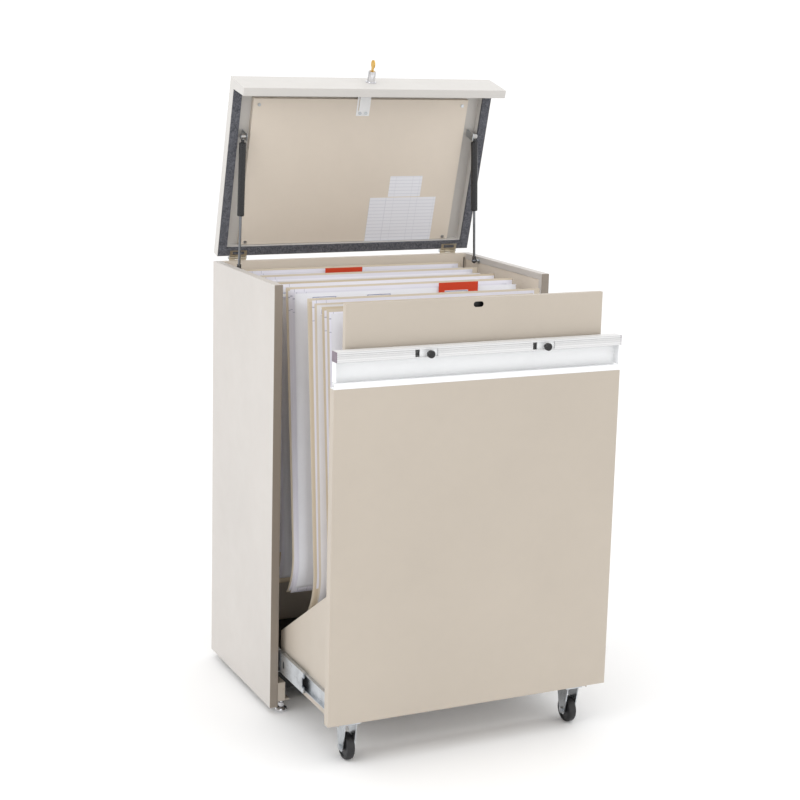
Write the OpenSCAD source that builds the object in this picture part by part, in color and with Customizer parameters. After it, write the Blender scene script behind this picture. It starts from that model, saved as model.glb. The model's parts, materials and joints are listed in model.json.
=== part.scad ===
// Vertical plan filing cabinet: double-skinned steel case, lift-up lid on gas
// struts, pull-out front on telescopic slides and two casters, and folders
// that spread apart as the front comes out.
// Frame: X to the right, Y to the back, Z up, origin on the floor under the
// middle of the cabinet as it stands open.

/* [Case] */
// Width over the side panels
case_w = 706; // [700:1:740]
// Depth of the side panels
case_d = 418; // [414:1:430]
// Height of the side panels
side_h = 1000; // [990:1:1010]
// Gap from the floor to the side panels
foot_gap = 17; // [15:1:20]
// Thickness of the double-skinned side panels
side_t = 20; // [19:1:21]
// Sheet steel thickness of the outer skins
sheet = 1.2; // [1:0.1:1.4]
// Diameter of the levelling foot pads
foot_pad_d = 30; // [26:1:32]

/* [Lid] */
// How far the lid stands open from closed, in degrees
lid_open = 75; // [60:1:80]
// Length of the lid from the hinge pin to its front flange
lid_len = 455; // [450:1:458]
// Half width of the lid
lid_hw = 345; // [343:1:347]
// Depth of the lid pan
lid_t = 26; // [25:1:28]
// Depth of the front flange, measured from the top of the lid
flange_h = 93; // [80:1:100]
// Width of the foam gasket on the lid rims
gasket_w = 22; // [18:1:22]

/* [Front] */
// Outer face of the pull-out front, in front of the case
front_out = 335; // [330:1:340]
// Half width of the lower front panel
front_hw = 349; // [345:1:350]
// Height of the bottom edge of the lower front panel
front_z0 = 102; // [98:1:106]
// Height of the top edge of the lower front panel
front_z1 = 845; // [840:1:850]
// Half width of the upper front panel
upper_hw = 313; // [300:1:316]
// Half width of the pull rail
rail_hw = 345; // [340:1:347]
// Caster wheel diameter
caster_d = 60; // [58:1:62]

/* [Folders] */
// Half width of the folders
folder_hw = 297; // [280:1:298]
// Thickness of one folder with its leaves, at the top
folder_t = 26; // [20:1:30]

/* [Hidden] */
$fn = 48;

hw = case_w / 2;              // outer half width
ihw = hw - side_t;            // inner half width
z0 = foot_gap;                // bottom of the side panels
z1 = foot_gap + side_h;       // top of the side panels
lip = 15;                     // width of the inward lips of the pans
fy = -front_out;              // outer face of the lower front panel
pan_t = 21;                   // depth of the lower front panel pan

// hinge line
py = case_d + 3;
pz = z1 + 6;
lid_top = z1 + 0.3 + lid_t;   // top of the lid when closed
lid_fy = py - lid_len;        // outer face of the flange when closed
lid_ry = case_d - 4;          // rear wall of the lid when closed
liner_z = lid_top - 14;       // face of the lid liner when closed

// gas struts
strut_x = 311;                // lid ball, distance from the middle
strut_lx = 320;               // case ball, distance from the middle
lb = [325, z1 - 10];          // case ball, y and z
ub = [py - 316, lid_top - 30];// lid ball when the lid is closed, y and z
function lid_pt(y, z) = [ py + (y - py) * cos(lid_open) + (z - pz) * sin(lid_open),
                          pz - (y - py) * sin(lid_open) + (z - pz) * cos(lid_open) ];
ubo = lid_pt(ub[0], ub[1]);
s_dx = ubo[0] - lb[0];
s_dz = ubo[1] - lb[1];
s_len = sqrt(s_dx * s_dx + s_dz * s_dz);
s_ang = atan2(s_dx, s_dz);    // lean of the strut from vertical
s_in = asin((strut_lx - strut_x) / s_len); // lean of the strut towards the middle

// lock on the flange
lock_z = lid_top - 38;

// the whole model is moved so that the origin is under the middle of its box
y_min = fy - 20;
y_max = lid_pt(lid_ry, lid_top)[0];
y_mid = (y_min + y_max) / 2;

slide_z = 128;                // height of the slides
caster_x = 282;
caster_y = fy + 50;

module place() { translate([0, -y_mid, 0]) children(); }
// puts a piece that is drawn in the closed lid where the open lid has it
module on_lid() { translate([0, py, pz]) rotate([-lid_open, 0, 0]) translate([0, -py, -pz]) children(); }
module both() { children(); mirror([1, 0, 0]) children(); }
module box(a, b) { translate(a) cube([b[0] - a[0], b[1] - a[1], b[2] - a[2]]); }
module xcyl(x0, x1, y, z, r) { translate([x0, y, z]) rotate([0, 90, 0]) cylinder(r = r, h = x1 - x0); }
module ycyl(y0, y1, x, z, r) { translate([x, y0, z]) rotate([-90, 0, 0]) cylinder(r = r, h = y1 - y0); }
module zcyl(z0, z1, x, y, r) { translate([x, y, z0]) cylinder(r = r, h = z1 - z0); }
// a plate drawn in the YZ plane from x0 to x1
module yz_plate(x0, x1, pts) { translate([x0, 0, 0]) rotate([90, 0, 90]) linear_extrude(height = x1 - x0) polygon(pts); }

module side_shells() { color([0.86, 0.83, 0.79]) place() both()
  difference() {
    box([-hw, 0, z0], [-ihw, case_d, z1]);
    box([-hw + sheet, sheet, z0 + sheet], [-ihw - sheet, case_d - sheet, z1 - sheet]);
    box([-ihw - 2 * sheet, lip, z0 + lip], [-ihw + 1, case_d - lip, z1 - lip]);
  } }
module side_liners() { color([0.80, 0.76, 0.70]) place() both()
  difference() {
    box([-ihw - 2 * sheet, sheet + 0.5, z0 + sheet + 0.5], [-ihw - sheet, case_d - sheet - 0.5, z1 - sheet - 0.5]);
    for (z = [250, 500, 750]) xcyl(-ihw - 5, -ihw + 5, case_d / 2, z, 3);
  } }
module back_shell() { color([0.84, 0.80, 0.74]) place()
  difference() {
    box([-ihw, case_d - 18, z0], [ihw, case_d, z1 - sheet - 0.3]);
    box([-ihw + sheet, case_d - 20, z0 + sheet], [ihw - sheet, case_d - sheet, z1 + 1]);
  } }
module back_liner() { color([0.80, 0.76, 0.70]) place()
  box([-ihw + sheet + 0.3, case_d - 18, 80], [ihw - sheet - 0.3, case_d - 17, z1 - 56]); }
module back_top_rail() { color([0.80, 0.76, 0.69]) place()
  difference() {
    box([-ihw, case_d - 20, z1 - 52], [ihw, case_d - sheet, z1]);
    box([-ihw - 1, case_d - 20 + sheet, z1 - 52 + sheet], [ihw + 1, case_d, z1 - sheet]);
    box([-ihw - 1, case_d - 18.2, z1 - 60], [-ihw + sheet, case_d, z1 - sheet - 0.2]);
    box([ihw - sheet, case_d - 18.2, z1 - 60], [ihw + 1, case_d, z1 - sheet - 0.2]);
    both() box([-ihw + 2, case_d - 21, z1 - 43], [-ihw + 6, case_d - 18, z1 - 9]);
  } }
module case_floor() { color([0.25, 0.25, 0.26]) place() {
  box([-ihw, 70, 77], [ihw, case_d - 18, 78.2]);
  box([-ihw, 70, 62], [ihw, 71.2, 77]);
  box([-ihw, case_d - 19.2, 62], [ihw, case_d - 18, 77]); } }
module base_rail(y) { 
  box([-ihw, y, 31], [ihw, y + 1.6, 76.9]);
  box([-ihw, y + 1.6, 31], [ihw, y + 28, 32.6]);
  box([-ihw, y + 1.6, 75.3], [ihw, y + 28, 76.9]); }
module base_rails() { color([0.10, 0.10, 0.11]) place() { base_rail(71.3); base_rail(case_d - 98); } }
module foot_bracket(y) { 
  difference() {
    union() {
      box([-ihw, y, 31], [-ihw + 2, y + 36, 76]);
      box([-ihw + 2, y, 31], [-ihw + 18, y + 2, 76]);
      box([-ihw + 2, y + 2, 31], [-ihw + 30, y + 36, 34]);
      box([-ihw + 2, y + 2, 74], [-ihw + 18, y + 36, 76]);
    }
    zcyl(20, 40, -ihw + 16, y + 19, 4.05);
  } }
module foot_brackets() { color([0.84, 0.81, 0.76]) place() both() { foot_bracket(1); foot_bracket(case_d - 58); } }
foot_y = [20, case_d - 39];
module foot(x, y) { color([0.55, 0.55, 0.56]) place() difference() {
  union() {
    translate([x, y, 0]) rotate_extrude() polygon([[0, 0], [foot_pad_d / 2 - 1, 0], [foot_pad_d / 2, 1], [foot_pad_d / 2, 5], [foot_pad_d / 2 - 2, 8], [6, 11], [6, 14], [4, 14], [4, 62], [0, 62]]);
    translate([x, y, 14]) cylinder(d = 14, h = 6, $fn = 6);
  } } }
module foot_front_left() { foot(-ihw + 16, foot_y[0]); }
module foot_front_right() { foot(ihw - 16, foot_y[0]); }
module foot_rear_left() { foot(-ihw + 16, foot_y[1]); }
module foot_rear_right() { foot(ihw - 16, foot_y[1]); }

hinge_x = [-290, 290];
module case_hinge_leaves() { color([0.72, 0.62, 0.42]) place() for (x = hinge_x) 
  difference() {
    union() {
      box([x - 22, case_d, z1 - 34], [x + 22, case_d + 1.5, z1 + 4]);
      for (k = [[-22, -8], [8, 22]]) xcyl(x + k[0], x + k[1], py, pz, 4);
      for (k = [[-22, -8], [8, 22]]) box([x + k[0], case_d, z1 + 2], [x + k[1], case_d + 3, pz]);
    }
    xcyl(x - 30, x + 30, py, pz, 2);
    box([x - 7.7, case_d - 2, z1 + 1.4], [x + 7.7, py + 5, pz + 5]);
  } }
module hinge_pins() { color([0.70, 0.70, 0.70]) place() for (x = hinge_x) { xcyl(x - 22, x + 22, py, pz, 2); for (s = [-1, 1]) xcyl(x + s * 22.9 - 0.9, x + s * 22.9 + 0.9, py, pz, 3.4); } }
module lid_hinge_leaves() { color([0.72, 0.62, 0.42]) place() on_lid() for (x = hinge_x)
  difference() {
    union() {
      xcyl(x - 7.4, x + 7.4, py, pz, 4);
      box([x - 7.4, lid_ry + 0.2, z1 + 2.8], [x + 7.4, py, z1 + 4.6]);
      difference() {
        box([x - 22, lid_ry - 14, z1 + 0.6], [x + 22, lid_ry + 1.6, z1 + 2.1]);
        box([x - 15, lid_ry - 11, z1 - 1], [x + 15, lid_ry - 3, z1 + 3]);
      }
      box([x - 7.4, lid_ry + 0.1, z1 + 0.6], [x + 7.4, lid_ry + 1.6, z1 + 4.6]);
    }
    xcyl(x - 30, x + 30, py, pz, 2.05);
  } }
module strut_case_studs() { color([0.75, 0.75, 0.76]) place() both() {
  xcyl(-ihw, -strut_lx - 6.4, lb[0], lb[1], 4);
  xcyl(-ihw, -ihw + 2, lb[0], lb[1], 8); } }
module slide_c(x0, x1, h, t, y0, y1) { // C-shaped member, web on the x0 side
  s = x1 > x0 ? 1 : -1;
  translate([0, y0, slide_z]) rotate([90, 0, 0]) mirror([0, 0, 1]) linear_extrude(height = y1 - y0)
    polygon([[x0, -h], [x1, -h], [x1, -h + t], [x0 + s * t, -h + t], [x0 + s * t, h - t], [x1, h - t], [x1, h], [x0, h]]); }
module slide_outer_members() { color([0.62, 0.64, 0.66]) place() both() 
  difference() {
    slide_c(-ihw, -ihw + 9, 28, 1.8, 10, case_d - 22);
    for (y = [60, 200, 340]) xcyl(-ihw - 2, -ihw + 4, y, slide_z, 3);
  } }
mid_y0 = 15 - (front_out - 22) / 2;
module slide_middle() { color([0.78, 0.79, 0.80]) 
  difference() {
    union() {
      slide_c(-ihw + 4.4, -ihw + 12.6, 24.5, 1.6, mid_y0, mid_y0 + 370);
      box([-ihw + 6.2, mid_y0 + 1, slide_z + 10], [-ihw + 8.4, mid_y0 + 9, slide_z + 22.7]);
      box([-ihw + 6.2, mid_y0 + 1, slide_z - 22.7], [-ihw + 8.4, mid_y0 + 9, slide_z - 10]);
    }
    // notched front end and the oblong slot
    box([-ihw + 3, mid_y0 - 1, slide_z - 12], [-ihw + 6.1, mid_y0 + 7, slide_z + 12]);
    box([-ihw + 3, mid_y0 + 116, slide_z - 8], [-ihw + 6.1, mid_y0 + 124, slide_z + 8]);
    box([-ihw + 3, mid_y0 + 250, slide_z - 8], [-ihw + 6.1, mid_y0 + 258, slide_z + 8]);
  } }
module slide_middle_left() { place() slide_middle(); }
module slide_middle_right() { place() mirror([1, 0, 0]) slide_middle(); }
in_y0 = fy + pan_t + 3;
module slide_inner_members() { color([0.45, 0.50, 0.55]) place() both()
  difference() {
    slide_c(-ihw + 18, -ihw + 9.6, 19.5, 1.6, in_y0, in_y0 + 380);
    for (y = [36, 200, 340]) xcyl(-ihw + 10, -ihw + 20, in_y0 + y, slide_z, 2.5);
  } }
module case_screws() { color([0.7, 0.7, 0.7]) place() both() {
  for (z = [250, 500, 750]) { xcyl(-ihw - 2 * sheet - 4, -ihw - sheet, case_d / 2, z, 2.9); xcyl(-ihw - sheet, -ihw + 0.6, case_d / 2, z, 5); }
  for (y = [60, 200, 340]) { xcyl(-ihw - sheet, -ihw + 1.8, y, slide_z, 2.9); xcyl(-ihw + 1.8, -ihw + 3.6, y, slide_z, 5); } } }

module lid_shell() { color([0.90, 0.89, 0.87]) place() on_lid() {
  difference() {
    box([-lid_hw, lid_fy, z1 + 0.3], [lid_hw, lid_ry, lid_top]);
    box([-lid_hw + sheet, lid_fy - 1, z1 - 1], [lid_hw - sheet, lid_ry - sheet, lid_top - sheet]);
    for (x = hinge_x) box([x - 22.5, lid_ry - 2, z1 - 1], [x + 22.5, lid_ry + 1, z1 + 2.9]);
    for (x = hinge_x) box([x - 8, lid_ry - 2, z1 - 1], [x + 8, lid_ry + 1, z1 + 5]);
  }
  // folded rims that carry the gasket
  difference() {
    box([-lid_hw + sheet, lid_fy + 26, z1 + 6.3], [lid_hw - sheet, lid_ry - sheet, lid_top - sheet]);
    box([-lid_hw + sheet - 1, lid_fy + 25, z1 + 7.5], [-lid_hw + gasket_w, lid_ry, lid_top]);
    box([lid_hw - gasket_w, lid_fy + 25, z1 + 7.5], [lid_hw - sheet + 1, lid_ry, lid_top]);
    box([-lid_hw, lid_ry - gasket_w, z1 + 7.5], [lid_hw, lid_ry + 1, lid_top]);
    box([-lid_hw + sheet + gasket_w, lid_fy, z1], [lid_hw - sheet - gasket_w, lid_ry - gasket_w - sheet, lid_top]);
  }
  // front flange with its return lip and end webs
  difference() {
    union() {
      box([-lid_hw, lid_fy, lid_top - flange_h], [lid_hw, lid_fy + sheet, lid_top - sheet]);
      box([-lid_hw, lid_fy, lid_top - flange_h], [lid_hw, lid_fy + 20, lid_top - flange_h + sheet]);
      both() yz_plate(-lid_hw, -lid_hw + sheet, [[lid_fy, lid_top - flange_h], [lid_fy + 20, lid_top - flange_h], [lid_fy + 20, lid_top - flange_h + 8], [lid_fy + 24, lid_top - 26], [lid_fy + 24, lid_top - 20], [lid_fy, lid_top - 20]]);
    }
    ycyl(lid_fy - 1, lid_fy + 3, 0, lock_z, 11);
  }
} }
lin_hw = 287;
lin_y0 = py - 405;
lin_y1 = py - 31.5;
module lid_liner() { color([0.80, 0.75, 0.69]) place() on_lid()
  difference() {
    box([-lin_hw, lin_y0, liner_z], [lin_hw, lin_y1, lid_top - sheet]);
    box([-lin_hw + 1, lin_y0 + 1, liner_z + 1], [lin_hw - 1, lin_y1 - 1, lid_top]);
    for (x = [-272, 272], y = [py - 402 + 12, py - 38]) zcyl(liner_z - 1, liner_z + 2, x, y, 2.5);
    for (x = [-8, 8]) zcyl(liner_z - 1, liner_z + 2, x, py - 370, 2.5);
  } }
module lid_gasket() { color([0.16, 0.16, 0.18]) place() on_lid()
  difference() {
    box([-lid_hw + sheet, lid_fy + 26, z1 + 0.3], [lid_hw - sheet, lid_ry - sheet, z1 + 6.3]);
    box([-lid_hw + sheet + gasket_w, lid_fy, z1 - 1], [lid_hw - sheet - gasket_w, lid_ry - gasket_w, lid_top]);
    for (x = hinge_x) box([x - 22.3, lid_ry - 14.3, z1 - 1], [x + 22.3, lid_ry + 1, z1 + 2.4]);
  } }
module lid_screws() { color([0.72, 0.72, 0.72]) place() on_lid() {
  for (x = [-272, 272], y = [py - 402 + 12, py - 38]) { zcyl(liner_z - 1.6, liner_z, x, y, 4.2); zcyl(liner_z, liner_z + 8, x, y, 2.4); }
  for (x = [-8, 8]) { zcyl(liner_z - 3.2, liner_z - 1.6, x, py - 370, 4); zcyl(liner_z - 1.6, liner_z + 6, x, py - 370, 2.4); } } }
module strut_lid_brackets() { color([0.75, 0.75, 0.76]) place() on_lid() both() {
  box([-strut_x + 6.6, ub[0] - 9, ub[1] - 9], [-strut_x + 8.6, ub[0] + 9, lid_top - sheet]);
  xcyl(-strut_x - 5, -strut_x + 6.6, ub[0], ub[1], 3); 
  xcyl(-strut_x - 6.8, -strut_x - 5, ub[0], ub[1], 4.5); } }
module lock_bracket() { color([0.85, 0.84, 0.80]) place() on_lid()
  difference() {
    union() {
      box([-17.5, lid_fy + sheet + 1.6, liner_z - 1.6], [17.5, py - 363, liner_z]);
      box([-17.5, lid_fy + sheet, liner_z - 44], [17.5, lid_fy + sheet + 1.6, liner_z]);
    }
    for (x = [-8, 8]) zcyl(liner_z - 3, liner_z + 2, x, py - 370, 2.5);
    box([-13.5, lid_fy + 30, liner_z - 3], [-11, py - 376, liner_z + 1]);
    ycyl(lid_fy, lid_fy + 4, 0, lock_z, 11);
  } }
module lock_housing() { color([0.75, 0.75, 0.76]) place() on_lid()
  difference() {
    union() { ycyl(lid_fy - 2, lid_fy + 26, 0, lock_z, 11); ycyl(lid_fy - 2, lid_fy, 0, lock_z, 13); ycyl(lid_fy + sheet + 1.6, lid_fy + sheet + 6, 0, lock_z, 13.5); }
    ycyl(lid_fy - 3, lid_fy + 30, 0, lock_z, 9.55);
  } }
module info_cards() { color([0.93, 0.93, 0.94]) place() on_lid() {
  box([51, py - 148, liner_z - 0.5], [236, py - 31, liner_z]);
  box([100, py - 205, liner_z - 0.3], [190, py - 150, liner_z]); } }
module lock_barrel() { color([0.85, 0.85, 0.86]) place() on_lid()
  difference() {
    union() { ycyl(lid_fy - 28, lid_fy + 20, 0, lock_z, 9.5); ycyl(lid_fy + 20, lid_fy + 34.5, 0, lock_z, 5); }
    ycyl(lid_fy - 29, lid_fy + 2, 0, lock_z, 6.5);
  } }
module lock_plug() { color([0.80, 0.68, 0.40]) place() on_lid()
  difference() {
    ycyl(lid_fy - 28.6, lid_fy + 1.7, 0, lock_z, 6.44);
    box([-1, lid_fy - 30, lock_z - 4], [1, lid_fy - 8, lock_z + 4]);
  } }
module key() { color([0.82, 0.66, 0.32]) place() on_lid()
  difference() {
    union() {
      box([-0.9, lid_fy - 36, lock_z - 3.6], [0.9, lid_fy - 8.3, lock_z + 3.6]);
      xcyl(-1.1, 1.1, lid_fy - 45, lock_z, 10.5);
      box([-1.1, lid_fy - 39, lock_z - 5], [1.1, lid_fy - 30, lock_z + 5]);
    }
    xcyl(-3, 3, lid_fy - 51, lock_z, 1.9);
  } }

// struts: drawn along +Z from the case ball, then leaned to the lid ball
module strut_frame(side) { translate([side * strut_lx, lb[0], lb[1]]) rotate([-s_ang, 0, 0]) rotate([0, -side * s_in, 0]) children(); }
module strut_eye(side) { translate([side * strut_x, ubo[0], ubo[1]]) children(); }
cyl_len = 176;
module strut_cylinder(side) { color([0.10, 0.10, 0.11]) place()
  difference() {
    union() {
      strut_frame(side) {
      translate([0, 0, s_len - 14 - cyl_len]) rotate_extrude() polygon([[0, 0], [7, 0], [8.5, 2], [8.5, cyl_len - 2], [7, cyl_len], [0, cyl_len]]);
      translate([0, 0, s_len - 15]) cylinder(r = 4, h = 11); }
      strut_eye(side) xcyl(-4.8, 4.8, 0, 0, 7);
    }
    strut_eye(side) xcyl(-9, 9, 0, 0, 3.06);
    strut_frame(side) translate([0, 0, s_len - 15 - cyl_len]) cylinder(r = 3.3, h = cyl_len - 18);
  } }
module strut_cylinder_left() { strut_cylinder(-1); }
module strut_cylinder_right() { strut_cylinder(1); }
module strut_rod(side) { color([0.55, 0.56, 0.58]) place() strut_frame(side) {
  translate([0, 0, 9]) cylinder(r = 3.24, h = s_len - 14 - cyl_len + 22);
  translate([0, 0, -3]) cylinder(r = 5.2, h = 16);
  sphere(r = 6.2); } }
module strut_rod_left() { strut_rod(-1); }
module strut_rod_right() { strut_rod(1); }

module front_panel_shell() { color([0.80, 0.76, 0.69]) place()
  difference() {
    box([-front_hw, fy, front_z0], [front_hw, fy + pan_t, front_z1]);
    box([-front_hw + sheet, fy + sheet, front_z0 + sheet], [front_hw - sheet, fy + pan_t - sheet, front_z1 - sheet]);
    box([-front_hw + 12, fy + sheet, front_z0 + 12], [front_hw - 12, fy + pan_t + 1, front_z1 - 12]);
  } }
module front_panel_liner() { color([0.80, 0.76, 0.70]) place()
  box([-front_hw + 2, fy + pan_t - 2 * sheet, front_z0 + 2], [front_hw - 2, fy + pan_t - sheet, front_z1 - 2]); }
module finger_lip() { color([0.95, 0.95, 0.95]) place() {
  box([-front_hw, fy, front_z1], [front_hw, fy + 1.6, front_z1 + 13]);
  box([-front_hw, fy + 1.6, front_z1], [front_hw, fy + pan_t, front_z1 + 1.6]);
  box([-front_hw, fy + 1.6, front_z1 + 11.4], [front_hw, fy + 8, front_z1 + 13]); } }
rz0 = front_z1 + 57;          // bottom of the pull rail
rz1 = rz0 + 23;               // top of the pull rail
module finger_channel() { color([0.95, 0.95, 0.96]) place() {
  box([-rail_hw, fy + pan_t - 1.6, front_z1 + 1.6], [rail_hw, fy + pan_t - 0.2, rz0]);
  box([-rail_hw, fy + 10, front_z1 + 1.6], [rail_hw, fy + pan_t - 1.6, front_z1 + 3]);
  both() box([-rail_hw, fy + 2, front_z1 + 14], [-rail_hw + 1.4, fy + pan_t - 1.6, rz0]); } }
win = [[-166, -112], [119, 174]];
module pull_rail() { color([0.93, 0.93, 0.93]) place()
  difference() {
    translate([-rail_hw, 0, 0]) rotate([90, 0, 90]) linear_extrude(height = 2 * rail_hw) polygon([
      [fy - 2, rz0], [fy - 5, rz0 + 1.5], [fy - 5, rz0 + 9.5], [fy - 4, rz0 + 10], [fy - 4, rz0 + 10.8], [fy - 5, rz0 + 11.3], [fy - 5, rz0 + 13.6],
      [fy - 3.6, rz0 + 14], [fy - 3.6, rz0 + 14.8], [fy - 4.8, rz0 + 15.2], [fy - 4.6, rz0 + 17.2], [fy - 3.2, rz0 + 17.6], [fy - 3.2, rz0 + 18.4], [fy - 4.2, rz0 + 18.8],
      [fy - 3.8, rz0 + 20.6], [fy - 2.4, rz0 + 21], [fy - 2.2, rz0 + 21.6], [fy - 2.6, rz1 - 0.8], [fy - 1.6, rz1], [fy + pan_t - 0.2, rz1], [fy + pan_t - 0.2, rz0]]);
    box([-rail_hw - 1, fy - 1.6, rz0 + 1.6], [rail_hw + 1, fy + pan_t - 1.8, rz1 - 1.6]);
    for (w = win) box([w[0], fy - 8, rz0 + 2.6], [w[1], fy, rz0 + 18.6]);
  } }
module rail_end_caps() { color([0.45, 0.40, 0.45]) place() both() {
  box([-rail_hw - 1.5, fy - 4, rz0 + 0.6], [-rail_hw, fy + pan_t - 1, rz1 - 0.6]);
  box([-rail_hw, fy - 1.3, rz0 + 2], [-rail_hw + 8, fy + pan_t - 2.2, rz1 - 2]); } }
module latch_slider(w) { x = w[0] + 33; color([0.90, 0.90, 0.90]) place() {
  box([x - 21, fy - 1.2, rz0 + 2.2], [x + 42, fy + 0.6, rz1 - 2.2]);
  ycyl(fy - 9, fy - 1.2, x, rz0 + 9, 4);
  translate([x, fy - 9, rz0 + 9]) rotate([90, 0, 0]) rotate_extrude() polygon([[0, 0], [6.5, 0], [8.5, 2], [8.5, 8], [6.5, 11], [0, 11]]); } }
module latch_slider_left() { latch_slider(win[0]); }
module latch_slider_right() { latch_slider(win[1]); }
upy = fy + 30;                // outer face of the upper panel
module upper_panel() { color([0.80, 0.76, 0.69]) place()
  difference() {
    box([-upper_hw, upy, rz1 - 22], [upper_hw, upy + 13, rz1 + 95]);
    box([-upper_hw + sheet, upy + sheet, rz1 - 30], [upper_hw - sheet, upy + 20, rz1 + 95 - sheet]);
    box([-6, upy - 1, lock_z - 6], [6, upy + 3, lock_z + 6]);
    for (s = [-1, 1]) ycyl(upy - 1, upy + 3, s * 6, lock_z, 6);
  } }
module front_stiles() { color([0.80, 0.76, 0.70]) place() both() {
  box([-ihw + 22, fy + pan_t, front_z0 + 10], [-ihw + 34, fy + pan_t + 1.6, rz1 - 2]);
  box([-ihw + 32.4, fy + pan_t + 1.6, front_z0 + 10], [-ihw + 34, upy + 13, rz1 - 26]);
  box([-ihw + 32.4, fy + pan_t + 1.6, rz1 - 26], [-ihw + 34, upy, rz1 - 2]);
  box([-ihw + 22, fy + pan_t + 1.6, rz1 - 60], [-ihw + 23.6, upy, rz1 - 2]);
} }
module gussets() { color([0.82, 0.78, 0.73]) place() both()
  yz_plate(-ihw + 18, -ihw + 19.6, [[fy + pan_t, front_z0 + 309], [31, 193], [31, 89], [fy + pan_t, 89]]); }
module front_base_rail() { color([0.80, 0.76, 0.70]) place() {
  box([-ihw + 19.8, fy + pan_t, 92], [ihw - 19.8, fy + pan_t + 62, 94]);
  box([-ihw + 19.8, fy + pan_t, 94], [ihw - 19.8, fy + pan_t + 2, 112]);
  box([-ihw + 19.8, fy + pan_t + 60, 94], [ihw - 19.8, fy + pan_t + 62, 112]); } }
cr = caster_d / 2;
module caster_forks() { color([0.80, 0.80, 0.80]) place() both()
  translate([-caster_x, caster_y, 0]) difference() {
    union() {
      box([-22, -28, 89], [22, 28, 92]);
      for (s = [-1, 1]) yz_plate(s > 0 ? 12.5 : -15, s > 0 ? 15 : -12.5, [[-24, 89], [-11, cr - 6], [-8, cr - 10], [8, cr - 10], [11, cr - 6], [24, 89]]);
    }
    xcyl(-20, 20, 0, cr, 4.05);
  } }
module caster_axles() { color([0.75, 0.75, 0.76]) place() both() translate([-caster_x, caster_y, cr]) {
  xcyl(-15, 15, 0, 0, 4);
  translate([-19, 0, 0]) rotate([0, 90, 0]) cylinder(d = 13, h = 4, $fn = 6);
  translate([15, 0, 0]) rotate([0, 90, 0]) cylinder(d = 13, h = 4, $fn = 6); } }
module tyre(x) { color([0.08, 0.08, 0.09]) place() translate([x, caster_y, cr]) rotate([0, 90, 0])
  translate([0, 0, -9]) rotate_extrude($fn = 72) polygon([[cr - 8, 0], [cr - 3, 0], [cr - 0.8, 2], [cr, 5], [cr, 13], [cr - 0.8, 16], [cr - 3, 18], [cr - 8, 18]]); }
module hub(x) { color([0.20, 0.20, 0.21]) place() translate([x, caster_y, cr]) rotate([0, 90, 0])
  translate([0, 0, -11]) rotate_extrude($fn = 72) polygon([[4.06, 0], [8, 0], [8, 4], [cr - 8, 4], [cr - 8, 18], [8, 18], [8, 22], [4.06, 22]]); }
module caster_tyre_left() { tyre(-caster_x); }
module caster_tyre_right() { tyre(caster_x); }
module caster_hub_left() { hub(-caster_x); }
module caster_hub_right() { hub(caster_x); }

// folders: leaning leaves whose lower ends curl back
folder_y = [345, 252, 160, 68, -63, -146];
folder_top = [1002, 1000, 996, 998, 992, 986];
lean = 57;
knee_z = 370;
curl_r = 150;
curl_a = 42;
function fpath(y, zt) = concat([[y, zt], [y - lean, knee_z]],
  [for (a = [6 : 6 : curl_a]) [y - lean + curl_r * (1 - cos(a)), knee_z - curl_r * sin(a)]]);
// half thickness at each point of the path: fans out at the top, pressed together at the bottom
function fw(k) = k == 0 ? folder_t / 2 : 6 - 0.25 * (k - 1);
module folder(i) { p = fpath(folder_y[i], folder_top[i]); n = len(p);
  color([0.90, 0.87, 0.80]) place() translate([-folder_hw, 0, 0]) rotate([90, 0, 90]) linear_extrude(height = 2 * folder_hw)
    polygon(concat([for (k = [0 : n - 1]) p[k] - [fw(k), 0]], [for (k = [n - 1 : -1 : 0]) p[k] + [fw(k), 0]])); }
module folder_1() { folder(0); }
module folder_2() { folder(1); }
module folder_3() { folder(2); }
module folder_4() { folder(3); }
module folder_5() { folder(4); }
module folder_6() { folder(5); }

side_shells();
side_liners();
back_shell();
back_liner();
back_top_rail();
case_floor();
base_rails();
foot_brackets();
case_hinge_leaves();
hinge_pins();
strut_case_studs();
slide_outer_members();
case_screws();
lid_shell();
lid_liner();
lid_gasket();
lid_hinge_leaves();
lid_screws();
strut_lid_brackets();
lock_bracket();
lock_housing();
info_cards();
lock_barrel();
lock_plug();
key();
strut_cylinder_left();
strut_cylinder_right();
strut_rod_left();
strut_rod_right();
front_panel_shell();
front_panel_liner();
finger_lip();
finger_channel();
pull_rail();
rail_end_caps();
upper_panel();
front_stiles();
gussets();
front_base_rail();
caster_forks();
caster_axles();
slide_inner_members();
slide_middle_left();
slide_middle_right();
caster_tyre_left();
caster_tyre_right();
caster_hub_left();
caster_hub_right();
latch_slider_left();
latch_slider_right();
foot_front_left();
foot_front_right();
foot_rear_left();
foot_rear_right();
folder_1();
folder_2();
folder_3();
folder_4();
folder_5();
folder_6();
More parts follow.
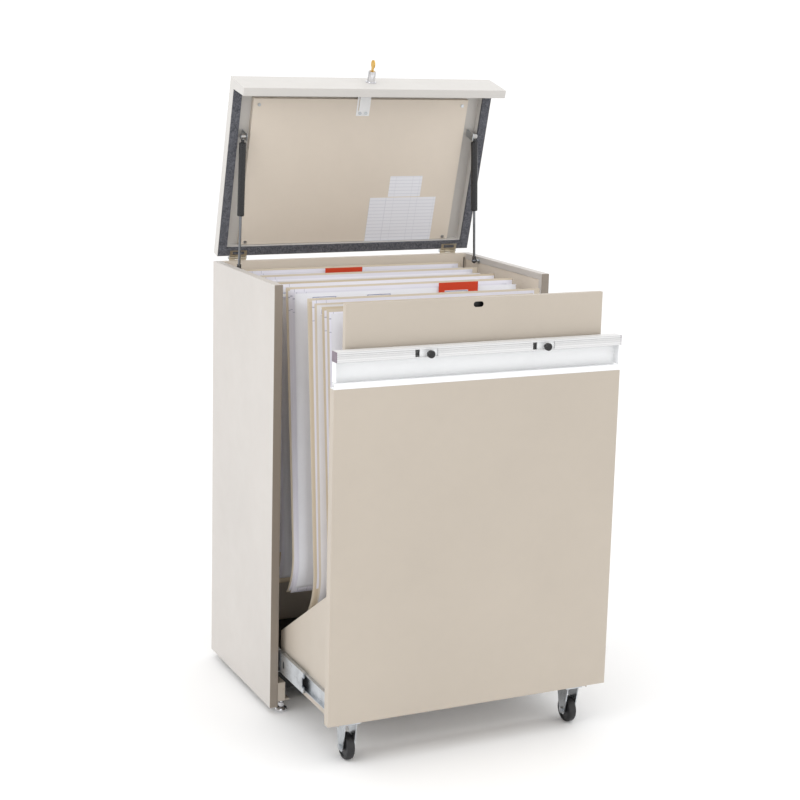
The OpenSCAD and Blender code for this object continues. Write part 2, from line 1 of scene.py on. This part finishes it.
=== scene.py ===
import bpy, bmesh, math, random
from mathutils import Vector, Matrix
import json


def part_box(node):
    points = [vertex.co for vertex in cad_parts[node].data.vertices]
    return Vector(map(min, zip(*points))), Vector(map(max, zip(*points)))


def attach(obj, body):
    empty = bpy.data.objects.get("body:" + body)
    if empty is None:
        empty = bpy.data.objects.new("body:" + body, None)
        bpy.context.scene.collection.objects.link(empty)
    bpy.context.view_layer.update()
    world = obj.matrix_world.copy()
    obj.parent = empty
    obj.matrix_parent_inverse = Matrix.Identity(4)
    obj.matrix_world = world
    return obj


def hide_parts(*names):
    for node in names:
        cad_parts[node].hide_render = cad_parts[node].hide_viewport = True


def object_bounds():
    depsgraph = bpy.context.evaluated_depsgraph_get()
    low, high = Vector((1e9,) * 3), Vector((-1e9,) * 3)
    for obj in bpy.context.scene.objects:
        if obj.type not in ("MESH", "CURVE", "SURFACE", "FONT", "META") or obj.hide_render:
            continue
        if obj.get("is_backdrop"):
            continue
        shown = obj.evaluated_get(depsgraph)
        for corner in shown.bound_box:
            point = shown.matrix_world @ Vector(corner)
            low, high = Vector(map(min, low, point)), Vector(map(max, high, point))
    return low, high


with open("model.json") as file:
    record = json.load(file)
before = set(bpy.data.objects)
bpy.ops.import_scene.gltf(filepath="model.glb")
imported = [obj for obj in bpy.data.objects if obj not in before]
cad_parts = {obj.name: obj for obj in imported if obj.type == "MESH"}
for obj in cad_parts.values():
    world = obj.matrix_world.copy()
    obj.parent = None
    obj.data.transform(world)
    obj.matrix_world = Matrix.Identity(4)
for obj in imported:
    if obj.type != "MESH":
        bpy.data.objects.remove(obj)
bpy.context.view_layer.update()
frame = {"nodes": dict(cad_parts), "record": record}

N = frame["nodes"]
random.seed(7)
scene = bpy.context.scene

# ---------------------------------------------------------------- frame facts
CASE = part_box("side_shells")
ZT = CASE[1].z                      # top of the case
CY0, CY1 = CASE[0].y, CASE[1].y     # front and rear plane of the case
OPEN = math.radians(75)
PY, PZ = CY0 + 0.421, ZT + 0.006    # hinge line
LT = ZT + 0.0263                    # top of the lid when closed


def lid_pt(x, y, z):
    """A point of the closed lid (y and z given closed) as the open lid has it."""
    c, s = math.cos(OPEN), math.sin(OPEN)
    return Vector((x, PY + (y - PY) * c + (z - PZ) * s, PZ - (y - PY) * s + (z - PZ) * c))


# ---------------------------------------------------------------- materials
class Mat:
    def __init__(self, name):
        self.m = bpy.data.materials.new(name)
        self.m.use_nodes = True
        self.nt = self.m.node_tree
        self.nt.nodes.clear()
        self.out = self.nt.nodes.new("ShaderNodeOutputMaterial")
        self.b = self.nt.nodes.new("ShaderNodeBsdfPrincipled")
        self.nt.links.new(self.b.outputs[0], self.out.inputs[0])
        self.tc = self.nt.nodes.new("ShaderNodeTexCoord")

    def node(self, kind, **kw):
        n = self.nt.nodes.new(kind)
        for k, v in kw.items():
            if k in n.inputs.keys():
                n.inputs[k].default_value = v
            else:
                setattr(n, k, v)
        return n

    def link(self, a, b):
        self.nt.links.new(a, b)

    def mapping(self, scale=(1, 1, 1), loc=(0, 0, 0), rot=(0, 0, 0), src=None):
        n = self.node("ShaderNodeMapping")
        n.inputs["Scale"].default_value = scale
        n.inputs["Location"].default_value = loc
        n.inputs["Rotation"].default_value = rot
        self.link(src or self.tc.outputs["Object"], n.inputs["Vector"])
        return n.outputs["Vector"]

    def noise(self, scale, detail=3, rough=0.55, vec=None, distortion=0.0):
        n = self.node("ShaderNodeTexNoise")
        n.inputs["Scale"].default_value = scale
        n.inputs["Detail"].default_value = detail
        n.inputs["Roughness"].default_value = rough
        n.inputs["Distortion"].default_value = distortion
        self.link(vec or self.tc.outputs["Object"], n.inputs["Vector"])
        return n.outputs["Fac"]

    def ramp(self, fac, stops):
        n = self.node("ShaderNodeValToRGB")
        cr = n.color_ramp
        while len(cr.elements) > 1:
            cr.elements.remove(cr.elements[-1])
        cr.elements[0].position, cr.elements[0].color = stops[0][0], (*stops[0][1], 1)
        for p, c in stops[1:]:
            e = cr.elements.new(p)
            e.color = (*c, 1)
        self.link(fac, n.inputs["Fac"])
        return n.outputs["Color"]

    def rng(self, fac, a, b, c, d):
        n = self.node("ShaderNodeMapRange")
        for i, v in zip(("From Min", "From Max", "To Min", "To Max"), (a, b, c, d)):
            n.inputs[i].default_value = v
        self.link(fac, n.inputs["Value"])
        return n.outputs["Result"]

    def math(self, op, a, b=None):
        n = self.node("ShaderNodeMath", operation=op)
        for i, v in enumerate((a, b)):
            if v is None:
                continue
            if isinstance(v, (int, float)):
                n.inputs[i].default_value = v
            else:
                self.link(v, n.inputs[i])
        return n.outputs[0]

    def mix(self, fac, a, b):
        n = self.node("ShaderNodeMix", data_type="RGBA")
        for i, v in ((0, fac), (6, a), (7, b)):
            if isinstance(v, (int, float)):
                n.inputs[i].default_value = v
            elif isinstance(v, tuple):
                n.inputs[i].default_value = (*v, 1)
            else:
                self.link(v, n.inputs[i])
        return n.outputs[2]

    def bump(self, height, strength, dist, prev=None):
        n = self.node("ShaderNodeBump")
        n.inputs["Strength"].default_value = strength
        n.inputs["Distance"].default_value = dist
        self.link(height, n.inputs["Height"])
        if prev is not None:
            self.link(prev, n.inputs["Normal"])
        return n.outputs["Normal"]

    def set(self, **kw):
        for k, v in kw.items():
            s = self.b.inputs[k.replace("_", " ")]
            if isinstance(v, (int, float)):
                s.default_value = v
            elif isinstance(v, tuple):
                s.default_value = (*v, 1) if len(v) == 3 else v
            else:
                self.link(v, s)
        return self


def srgb(r, g, b):
    f = lambda c: (c / 255 / 12.92) if c / 255 <= 0.04045 else ((c / 255 + 0.055) / 1.055) ** 2.4
    return (f(r), f(g), f(b))


def tint(c, k):
    return tuple(min(1.0, v * k) for v in c)


def paint(name, col, rough=0.42, peel=0.12, edge=None):
    """Baked powder paint: fine orange peel, soft mottling and faint handling marks."""
    m = Mat(name)
    big = m.noise(2.3, 4, 0.6)
    mid = m.noise(34, 3, 0.6)
    c = m.ramp(m.rng(big, 0.3, 0.7, 0, 1), [(0, tint(col, 0.965)), (0.5, col), (1, tint(col, 1.03))])
    c2 = m.mix(m.rng(mid, 0.35, 0.75, 0.0, 0.07), c, tint(col, 0.8))
    scuff = m.noise(9, 6, 0.75, m.mapping((1, 1, 0.25)))
    c3 = m.mix(m.rng(scuff, 0.66, 0.78, 0.0, 0.10), c2, tint(col, 0.72))
    if edge is not None:  # painted shade: a band along the side panels' front edge is painted darker, by position, for the shade that edge sits in
        sep = m.node("ShaderNodeSeparateXYZ")
        m.link(m.tc.outputs["Object"], sep.inputs[0])
        c3 = m.mix(m.math("LESS_THAN", sep.outputs[1], edge[0]), c3, edge[1])
    m.set(Base_Color=c3, Roughness=m.rng(m.noise(16, 4, 0.6), 0.3, 0.7, rough - 0.05, rough + 0.08))
    n1 = m.bump(m.noise(650, 2, 0.5), peel, 0.00035)
    n2 = m.bump(m.noise(90, 2, 0.5), 0.10, 0.0006, n1)
    m.set(Normal=n2)
    m.b.inputs["Specular IOR Level"].default_value = 0.45
    m.b.inputs["Coat Weight"].default_value = 0.08
    m.b.inputs["Coat Roughness"].default_value = 0.3
    return m.m


def metal(name, col, rough=0.28, brush=None, scale=300, dark=0.7):
    """Plated or brushed metal; brush gives the mapping scale that stretches the grain."""
    m = Mat(name)
    v = m.mapping(brush) if brush else None
    g = m.noise(scale, 4, 0.6, v)
    b = m.noise(26, 4, 0.65)
    c = m.ramp(m.rng(b, 0.3, 0.7, 0, 1), [(0, tint(col, dark)), (0.55, col), (1, tint(col, 1.08))])
    m.set(Base_Color=c, Metallic=1.0, Roughness=m.rng(g, 0.25, 0.75, rough - 0.07, rough + 0.12))
    m.set(Normal=m.bump(g, 0.12, 0.0003))
    return m.m


def plastic(name, col, rough=0.4, grain=700, bump=0.2):
    m = Mat(name)
    c = m.mix(m.rng(m.noise(40, 4), 0.35, 0.7, 0, 0.5), col, tint(col, 1.5))
    m.set(Base_Color=c, Roughness=m.rng(m.noise(60, 3), 0.3, 0.7, rough - 0.05, rough + 0.08))
    m.set(Normal=m.bump(m.noise(grain, 3), bump, 0.0003))
    return m.m


def foam(name, col):
    m = Mat(name)
    v = m.node("ShaderNodeTexVoronoi")
    v.inputs["Scale"].default_value = 330
    m.link(m.tc.outputs["Object"], v.inputs["Vector"])
    c = m.ramp(v.outputs["Distance"], [(0.0, tint(col, 0.35)), (0.35, col), (0.8, tint(col, 1.9))])
    c2 = m.mix(m.rng(m.noise(120, 4), 0.4, 0.7, 0, 0.5), c, tint(col, 2.4))
    m.set(Base_Color=c2, Roughness=0.95)
    m.b.inputs["Specular IOR Level"].default_value = 0.15
    m.set(Normal=m.bump(v.outputs["Distance"], 0.9, 0.0012))
    return m.m


def card(name, col, fibre=0.25, rough=0.85, lines=None):
    """Card or paper: fibres and a slight mottling of tone."""
    m = Mat(name)
    f = m.noise(420, 5, 0.7, m.mapping((1, 1, 0.3)))
    b = m.noise(5, 4, 0.6)
    c = m.ramp(m.rng(b, 0.3, 0.7, 0, 1), [(0, tint(col, 0.94)), (0.6, col), (1, tint(col, 1.03))])
    c2 = m.mix(m.rng(f, 0.45, 0.8, 0, fibre), c, tint(col, 0.78))
    m.set(Base_Color=c2, Roughness=rough)
    m.b.inputs["Specular IOR Level"].default_value = 0.2
    m.set(Normal=m.bump(f, 0.25, 0.0004, m.bump(b, 0.15, 0.004)))
    return m.m


BEIGE = srgb(201, 189, 173)
M = {}
M["case_paint"] = paint("beige_paint", srgb(187, 177, 164))
# FRONT_Y bounds the 1 mm band at the side panels' front edge that carries painted shade
FRONT_Y = (N["side_shells"].matrix_world.inverted() @ Vector((0, CY0 + 0.0010, 0))).y
# side panels: the case beige painted lighter, as painted light where the key lamp falls on the left side
M["side_paint"] = paint("side_paint", srgb(199, 194, 189), edge=(FRONT_Y, srgb(142, 132, 121)))
M["lid_paint"] = paint("lid_paint", srgb(204, 201, 197))
M["liner"] = paint("liner_paint", srgb(221, 210, 196), 0.5)
M["black"] = paint("black_paint", srgb(28, 28, 30), 0.4)
M["zinc"] = metal("zinc_plate", srgb(198, 202, 206), 0.30, (1, 0.06, 1), 420)
M["blued"] = metal("blued_zinc", srgb(120, 136, 150), 0.26, (1, 0.05, 1), 420)
M["chrome"] = metal("chrome", srgb(225, 225, 228), 0.12)
M["brass"] = metal("brass", srgb(214, 172, 84), 0.22)
M["hinge"] = metal("hinge_metal", srgb(200, 191, 172), 0.35)
M["foam"] = foam("gasket_foam", srgb(78, 79, 84))
M["strut"] = plastic("strut_black", srgb(16, 16, 18), 0.18, 300, 0.04)
M["rod"] = metal("rod_steel", srgb(120, 122, 126), 0.16)
M["white"] = paint("white_trim", srgb(240, 241, 242), 0.38, 0.06)
M["cap"] = plastic("end_cap", srgb(120, 108, 118), 0.5)
M["rubber"] = plastic("tyre_rubber", srgb(24, 24, 26), 0.45, 500, 0.35)
M["hub"] = plastic("wheel_hub", srgb(40, 40, 43), 0.35)
M["knob"] = plastic("black_knob", srgb(14, 14, 15), 0.25, 500, 0.1)
M["paper"] = card("card_white", srgb(232, 232, 238), 0.08)


def knob_slider(node):
    """White slider plate with a black knob in front of it."""
    m = Mat(node + "_paint")
    lim = (N[node].matrix_world.inverted() @ Vector((0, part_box(node)[0].y + 0.0184, 0))).y
    sep = m.node("ShaderNodeSeparateXYZ")
    m.link(m.tc.outputs["Object"], sep.inputs[0])
    knob = m.math("LESS_THAN", sep.outputs[1], lim)
    f = m.noise(300, 3)
    white = m.mix(m.rng(f, 0.4, 0.8, 0, 0.2), srgb(236, 237, 238), srgb(208, 208, 210))
    m.set(Base_Color=m.mix(knob, white, srgb(16, 16, 18)), Roughness=m.rng(m.noise(60, 3), 0.3, 0.7, 0.26, 0.4))
    m.set(Normal=m.bump(f, 0.08, 0.0002))
    return m.m


def ruled_card():
    """Blank printed form: faint rules and columns, no lettering."""
    m = Mat("info_card")
    sep = m.node("ShaderNodeSeparateXYZ")
    m.link(m.tc.outputs["Generated"], sep.inputs[0])
    rows = m.math("LESS_THAN", m.math("FRACT", m.math("MULTIPLY", sep.outputs[2], 19.3)), 0.14)
    cols = m.math("LESS_THAN", m.math("FRACT", m.math("MULTIPLY", m.math("ADD", sep.outputs[0], m.math("MULTIPLY", m.math("SINE", m.math("MULTIPLY", sep.outputs[0], 19.0)), 0.05)), 5.3)), 0.035)
    f = m.noise(300, 4)
    base = m.mix(m.rng(f, 0.4, 0.8, 0, 0.1), srgb(233, 234, 240), srgb(214, 214, 222))
    m.set(Base_Color=m.mix(m.math("MULTIPLY", m.math("MAXIMUM", rows, cols), 0.26), base, srgb(120, 124, 150)), Roughness=0.5)
    m.set(Normal=m.bump(f, 0.1, 0.0002))
    return m.m


def strut_body(name):
    """Black painted tube whose upper socket is bare metal."""
    m = Mat(name)
    sep = m.node("ShaderNodeSeparateXYZ")
    m.link(m.tc.outputs["Generated"], sep.inputs[0])
    sock = m.math("GREATER_THAN", sep.outputs[2], 0.93)
    f = m.noise(240, 3)
    tube = m.mix(m.rng(f, 0.4, 0.8, 0, 0.3), srgb(20, 20, 22), srgb(36, 36, 40))
    m.set(Base_Color=m.mix(sock, tube, srgb(176, 174, 172)), Metallic=m.math("MULTIPLY", sock, 0.9), Roughness=m.rng(f, 0.3, 0.7, 0.2, 0.3))
    m.set(Normal=m.bump(f, 0.05, 0.0002))
    return m.m


M["slider_left"] = knob_slider("latch_slider_left")
M["slider_right"] = knob_slider("latch_slider_right")
M["info"] = ruled_card()
M["strut_tube"] = strut_body("strut_tube")


def ribbed():
    """Painted extrusion with fine ribs along its length, the rib grooves painted darker as painted shade."""
    m = Mat("ribbed_rail")
    sep = m.node("ShaderNodeSeparateXYZ")
    m.link(m.tc.outputs["Object"], sep.inputs[0])
    ph = m.math("FRACT", m.math("MULTIPLY", sep.outputs[2], 235.0))
    rib = m.math("ABSOLUTE", m.math("SUBTRACT", ph, 0.5))
    # painted shade: the rib grooves are painted darker
    dark = m.math("GREATER_THAN", rib, 0.41)
    f = m.noise(200, 3)
    base = m.mix(m.rng(f, 0.4, 0.8, 0, 0.15), srgb(221, 221, 221), srgb(205, 205, 206))
    m.set(Base_Color=m.mix(m.math("MULTIPLY", dark, 0.55), base, srgb(160, 160, 162)), Roughness=0.4)
    m.set(Normal=m.bump(rib, 0.25, 0.0004))
    return m.m


M["ribbed"] = ribbed()

SLOT = {}
for sp in frame["record"]["subparts"]:
    SLOT[sp["node"]] = sp["material_slot"]
BY_SLOT = {"side_paint": "side_paint", "case_paint": "case_paint", "lid_paint": "lid_paint", "black_paint": "black",
           "hinge_brass": "hinge", "zinc_steel": "zinc", "foam_gasket": "foam", "chrome_lock": "chrome", "brass": "brass",
           "card_paper": "paper", "strut_black": "strut", "strut_rod_steel": "rod", "white_trim": "white", "end_cap": "cap",
           "tyre_rubber": "rubber", "wheel_plastic": "hub", "black_knob": "knob", "foot_chrome": "chrome", "folder_card": "paper"}
SPECIAL = {"pull_rail": "ribbed", "back_top_rail": "liner", "latch_slider_left": "slider_left", "latch_slider_right": "slider_right", "info_cards": "info",
           "strut_cylinder_left": "strut_tube", "strut_cylinder_right": "strut_tube", "lid_liner": "liner", "slide_inner_members": "zinc", "lock_bracket": "white", "side_liners": "liner"}


def set_mat(o, mat):
    o.data.materials.clear()
    o.data.materials.append(mat)
    for p in o.data.polygons:
        p.material_index = 0


def soften(o, width, seg=2):
    w = o.modifiers.new("weld", "WELD")
    w.merge_threshold = 0.00002
    b = o.modifiers.new("bevel", "BEVEL")
    b.width = width
    b.segments = seg
    b.limit_method = "ANGLE"
    b.angle_limit = math.radians(40)
    b.harden_normals = False
    b.use_clamp_overlap = True


for name, o in N.items():
    mat = M[SPECIAL.get(name) or BY_SLOT[SLOT[name]]]
    if len(o.material_slots) == 0:
        o.data.materials.append(mat)
    for s in o.material_slots:
        s.material = mat

for name, w in {"side_shells": 0.0012, "lid_shell": 0.0006, "front_panel_shell": 0.0006, "upper_panel": 0.0006, "back_shell": 0.0006,
                "finger_lip": 0.0006, "gussets": 0.0005, "lock_bracket": 0.0004}.items():
    soften(N[name], w)

# ---------------------------------------------------------------- mesh helpers
def mesh_obj(name, verts, faces, mat, body, smooth=False):
    me = bpy.data.meshes.new(name)
    me.from_pydata([tuple(v) for v in verts], [], faces)
    me.update()
    if smooth:
        for p in me.polygons:
            p.use_smooth = True
    o = bpy.data.objects.new(name, me)
    scene.collection.objects.link(o)
    if mat is not None:
        me.materials.append(mat)
    if body:
        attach(o, body)
    return o


def lathe(profile, frame_m, seg=48):
    """Vertices and faces of a turned profile [(r, h)...] about the local Z of frame_m."""
    vs, fs = [], []
    n = len(profile)
    for i in range(seg):
        a = 2 * math.pi * i / seg
        for r, h in profile:
            vs.append(frame_m @ Vector((r * math.cos(a), r * math.sin(a), h)))
    for i in range(seg):
        j = (i + 1) % seg
        for k in range(n - 1):
            fs.append((i * n + k, j * n + k, j * n + k + 1, i * n + k + 1))
    return vs, fs


def axis_frame(origin, direction):
    q = Vector(direction).normalized().to_track_quat("Z", "Y")
    return Matrix.Translation(Vector(origin)) @ q.to_matrix().to_4x4()


# ---------------------------------------------------------------- folders
COLS = [srgb(206, 193, 173), srgb(214, 211, 212), srgb(196, 181, 158), srgb(220, 219, 224), srgb(202, 190, 172), srgb(224, 224, 229)]
CARD = [card(f"folder_card_{i}", c, 0.12) for i, c in enumerate(COLS)]
RED = card("tab_red", srgb(214, 72, 44), 0.05, 0.6)


def lined_sheet(name, col, seed):
    """Sheet with plain ruled border lines, as drawing sheets have, and no lettering."""
    m = Mat(name)
    sep = m.node("ShaderNodeSeparateXYZ")
    m.link(m.tc.outputs["UV"], sep.inputs[0])
    def line(sock, at, w):
        d = m.math("ABSOLUTE", m.math("SUBTRACT", sock, at))
        return m.math("LESS_THAN", d, w)
    X, Y = sep.outputs[0], sep.outputs[1]
    acc = None
    for sock, at, w in ((X, 0.018, 0.0011), (X, 0.060, 0.0008), (Y, 0.985, 0.0012), (Y, 0.955, 0.0008)):
        l = line(sock, at, w)
        acc = l if acc is None else m.math("MAXIMUM", acc, l)
    # short rules between the two border lines, like a revision column left blank
    cells = m.math("LESS_THAN", m.math("FRACT", m.math("MULTIPLY", Y, 46.0)), 0.05)
    incol = m.math("MULTIPLY", m.math("GREATER_THAN", X, 0.018), m.math("LESS_THAN", X, 0.060))
    gate = m.math("GREATER_THAN", m.noise(6, 2, 0.5, m.mapping((0.01, 0.01, 1), (seed, 0, seed))), 0.5)
    acc = m.math("MAXIMUM", acc, m.math("MULTIPLY", m.math("MULTIPLY", cells, incol), gate))
    f = m.noise(420, 5, 0.7)
    base = m.ramp(m.rng(m.noise(4, 4), 0.3, 0.7, 0, 1), [(0, tint(col, 0.94)), (0.6, col), (1, tint(col, 1.02))])
    base = m.mix(m.rng(f, 0.45, 0.8, 0, 0.06), base, tint(col, 0.8))
    m.set(Base_Color=m.mix(m.math("MULTIPLY", acc, 0.55), base, srgb(96, 98, 128)), Roughness=0.8)
    m.b.inputs["Specular IOR Level"].default_value = 0.2
    m.set(Normal=m.bump(f, 0.15, 0.0003, m.bump(m.noise(7, 3), 0.2, 0.004)))
    return m.m


SHEET = [lined_sheet(f"leaf_{i}", c, i * 3.7) for i, c in enumerate([srgb(222, 220, 229), srgb(215, 213, 222), srgb(227, 225, 232)])]


def leaf(name, x0, x1, ytop, ztop, ybot_mid, rnd, mat, body, z_knee, curl_r, curl_a, lean, thick=0.0009, wav=0.004, trim=0.0):
    """One leaf: straight and leaning down to the knee, then curling back."""
    path = []
    ns = 16
    for i in range(ns + 1):
        t = i / ns
        z = ztop + (z_knee - ztop) * t
        y = ytop - lean * t
        path.append((y, z))
    na = 10
    for i in range(1, na + 1):
        a = curl_a * i / na
        path.append((ytop - lean + curl_r * (1 - math.cos(a)), z_knee - curl_r * math.sin(a)))
    nx = 24
    ph = rnd.uniform(0, 6.28)
    ph2 = rnd.uniform(0, 6.28)
    verts, faces, uv = [], [], []
    L = len(path)
    for j, (y, z) in enumerate(path):
        t = j / (L - 1)
        for i in range(nx + 1):
            u = i / nx
            x = x0 + (x1 - x0) * u
            w = wav * (math.sin(ph + 5.1 * u + 2.2 * t) * 0.6 + math.sin(ph2 + 11 * u - 1.3 * t) * 0.25) * (0.35 + 0.65 * t)
            verts.append((x, y + w, z))
            uv.append((u, 1 - t))
    W = nx + 1
    for j in range(L - 1):
        for i in range(nx):
            faces.append((j * W + i, j * W + i + 1, (j + 1) * W + i + 1, (j + 1) * W + i))
    o = mesh_obj(name, verts, faces, mat, None, smooth=True)
    ul = o.data.uv_layers.new(name="UVMap")
    for poly in o.data.polygons:
        for li in poly.loop_indices:
            ul.data[li].uv = uv[o.data.loops[li].vertex_index]
    s = o.modifiers.new("thick", "SOLIDIFY")
    s.thickness = thick
    s.offset = 0
    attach(o, body)
    return o, path


def plate(name, pts, t, mat, body):
    """A thin plate from 4 corners, t thick towards its normal."""
    p = [Vector(q) for q in pts]
    n = (p[1] - p[0]).cross(p[3] - p[0]).normalized() * t
    v = p + [q + n for q in p]
    f = [(3, 2, 1, 0), (4, 5, 6, 7), (0, 1, 5, 4), (1, 2, 6, 5), (2, 3, 7, 6), (3, 0, 4, 7)]
    return mesh_obj(name, v, f, mat, body)


LABEL = None


def label_mat():
    """White tag with a plain blue outline."""
    m = Mat("tag_label")
    sep = m.node("ShaderNodeSeparateXYZ")
    m.link(m.tc.outputs["UV"], sep.inputs[0])
    ex = m.math("MINIMUM", sep.outputs[0], m.math("SUBTRACT", 1.0, sep.outputs[0]))
    ey = m.math("MINIMUM", sep.outputs[1], m.math("SUBTRACT", 1.0, sep.outputs[1]))
    e = m.math("MINIMUM", m.math("MULTIPLY", ex, 4.0), ey)
    band = m.math("MULTIPLY", m.math("LESS_THAN", e, 0.22), m.math("GREATER_THAN", e, 0.08))
    f = m.noise(300, 3)
    base = m.mix(m.rng(f, 0.4, 0.8, 0, 0.08), srgb(246, 246, 250), srgb(215, 215, 225))
    m.set(Base_Color=m.mix(m.math("MULTIPLY", band, 0.8), base, srgb(120, 132, 178)), Roughness=0.6)
    m.set(Normal=m.bump(f, 0.1, 0.0002))
    return m.m


LABEL = label_mat()


def tag(name, x, y, z, w, h, mat, body, t=0.0005, lean=0.0):
    """A flat tag on the front of a leaf: x left edge, z bottom edge."""
    v = [(x, y, z), (x + w, y, z), (x + w, y + lean, z + h), (x, y + lean, z + h)]
    o = plate(name, v, t, mat, body)
    ul = o.data.uv_layers.new(name="UVMap")
    for poly in o.data.polygons:
        for li in poly.loop_indices:
            c = o.data.vertices[o.data.loops[li].vertex_index].co
            ul.data[li].uv = ((c.x - x) / w, (c.z - z) / h)
    return o


rnd = random.Random(11)
KNEE = 0.370
for i in range(1, 7):
    lo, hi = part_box(f"folder_{i}")
    ztop = hi.z
    # the top centre line: the slab is 26 mm thick at the top and 12 mm at the knee
    ymid = hi.y - 0.013
    zt_n = ztop
    offs = [0.0112, 0.0056, 0.0, -0.0056, -0.0112]
    tops = [0.0, -0.007, -0.003, -0.009, -0.012]
    for k in range(5):
        lean_k = 0.057 + offs[k] * (1 - 0.42)
        xl = -0.2965 + 0.0034 * k + rnd.uniform(0.0, 0.0015)
        xr = [0.2965, 0.262 + rnd.uniform(-0.012, 0.012), 0.280 + rnd.uniform(-0.012, 0.01), 0.270, 0.294][k]
        if k == 0 or i == 5 and k in (1, 3) or i == 6 and k == 2:
            mat = CARD[[2, 0, 4][(i + k) % 3]]
        elif k == 4:
            mat = CARD[[1, 3, 5][(i + k) % 3]]
        else:
            mat = SHEET[(i + k) % 3]
        o, path = leaf(f"folder_{i}_leaf_{k + 1}", xl, xr, ymid + offs[k], ztop + tops[k], 0, rnd, mat, f"folder_{i}",
                       KNEE + rnd.uniform(-0.006, 0.006), 0.150, math.radians(40 - 2.4 * k), lean_k, wav=0.0024)
    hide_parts(f"folder_{i}")
    # tags along the top edge of the front leaf
    for t in range(3):
        x = -0.27 + 0.19 * t + rnd.uniform(-0.03, 0.05)
        zz = ztop - 0.011 - 0.022
        yy = ymid - 0.0105 - 0.0012 - 0.057 * (ztop - 0.011 - zz) / (ztop - KNEE) - 0.003
        tag(f"folder_{i}_tag_{t + 1}", x, yy, zz, 0.062, 0.014, LABEL, f"folder_{i}")

# dark cup behind the keeper slot of the upper panel
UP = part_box("upper_panel")
ya, yb, zc = UP[0].y + 0.00125, UP[0].y + 0.0118, ZT - 0.0117
v = [(x, y, z) for y in (ya, yb) for x, z in ((-0.017, zc - 0.010), (0.017, zc - 0.010), (0.017, zc + 0.010), (-0.017, zc + 0.010))]
cup = mesh_obj("keeper_cup", v, [(4, 5, 6, 7), (0, 1, 5, 4), (1, 2, 6, 5), (2, 3, 7, 6), (3, 0, 4, 7)], M["black"], None)
sm = cup.modifiers.new("thick", "SOLIDIFY")
sm.thickness = 0.0006
sm.offset = 0
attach(cup, "front")

# two plain red strips
for i, x, w in ((1, -0.093, 0.10), (4, 0.082, 0.105)):
    lo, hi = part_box(f"folder_{i}")
    ztop, ymid = hi.z, hi.y - 0.013
    tag(f"red_strip_{i}", x, ymid - 0.0165, ztop - 0.024, w, 0.024, RED, f"folder_{i}", 0.0006)

# ---------------------------------------------------------------- camera
YM = CY0  # the calibration has its zero on the case's front plane and the bottom of the side panels
Z0 = CASE[0].z
cam_d = bpy.data.cameras.new("camera")
cam = bpy.data.objects.new("camera", cam_d)
scene.collection.objects.link(cam)
C = Vector((-1.6919, -3.4582 + YM, 1.5482 + Z0))
yaw, pitch, roll = 0.4457, 0.1851, 0.0259
fw = Vector((math.sin(yaw) * math.cos(pitch), math.cos(yaw) * math.cos(pitch), -math.sin(pitch)))
right = Vector((math.cos(yaw), -math.sin(yaw), 0))
up = right.cross(fw)
r2 = right * math.cos(roll) + up * math.sin(roll)
u2 = -right * math.sin(roll) + up * math.cos(roll)
R = Matrix((r2, u2, -fw)).transposed().to_4x4()
cam.matrix_world = Matrix.Translation(C) @ R
cam_d.sensor_width = 36
cam_d.lens = 1675.9 * 36 / 800
cam_d.shift_y = -0.06
cam_d.clip_end = 100
scene.camera = cam

# ---------------------------------------------------------------- stage and light
bm = bmesh.new()
bmesh.ops.create_grid(bm, x_segments=2, y_segments=2, size=30)
me = bpy.data.meshes.new("floor")
bm.to_mesh(me)
bm.free()
floor = bpy.data.objects.new("floor", me)
floor.location = (0, 0, -0.0005)
scene.collection.objects.link(floor)
fm = Mat("floor_white")
fm.set(Base_Color=fm.mix(fm.rng(fm.noise(1.5, 2), 0.3, 0.7, 0, 0.4), (0.955, 0.955, 0.955), (0.94, 0.94, 0.94)), Roughness=0.9)
fm.b.inputs["Specular IOR Level"].default_value = 0.1
me.materials.append(fm.m)
floor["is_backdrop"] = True

w = bpy.data.worlds.new("world")
scene.world = w
w.use_nodes = True
w.node_tree.nodes["Background"].inputs["Color"].default_value = (1.0, 1.0, 1.0, 1)
w.node_tree.nodes["Background"].inputs["Strength"].default_value = 1.12


def area(name, loc, target, size, power, col=(1, 1, 1)):
    d = bpy.data.lights.new(name, "AREA")
    d.shape = "RECTANGLE"
    d.size, d.size_y = size
    d.energy = power
    d.color = col
    o = bpy.data.objects.new(name, d)
    o.location = loc
    o.rotation_mode = "QUATERNION"
    o.rotation_quaternion = (Vector(target) - Vector(loc)).to_track_quat("-Z", "Y")
    scene.collection.objects.link(o)
    return o


area("key_left", (-3.6, -1.2, 2.6), (0, 0, 0.6), (2.2, 2.2), 26)
area("top_soft", (0.2, -0.6, 3.8), (0, 0, 0.6), (3.0, 2.4), 12)
area("front_fill", (1.4, -4.0, 1.6), (0, 0, 0.6), (2.5, 2.0), 6, (1.0, 0.985, 0.96))

scene.view_settings.view_transform = "Standard"
scene.view_settings.look = "None"
scene.view_settings.exposure = 0.0
scene.view_settings.gamma = 1.0

import json
lo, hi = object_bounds()
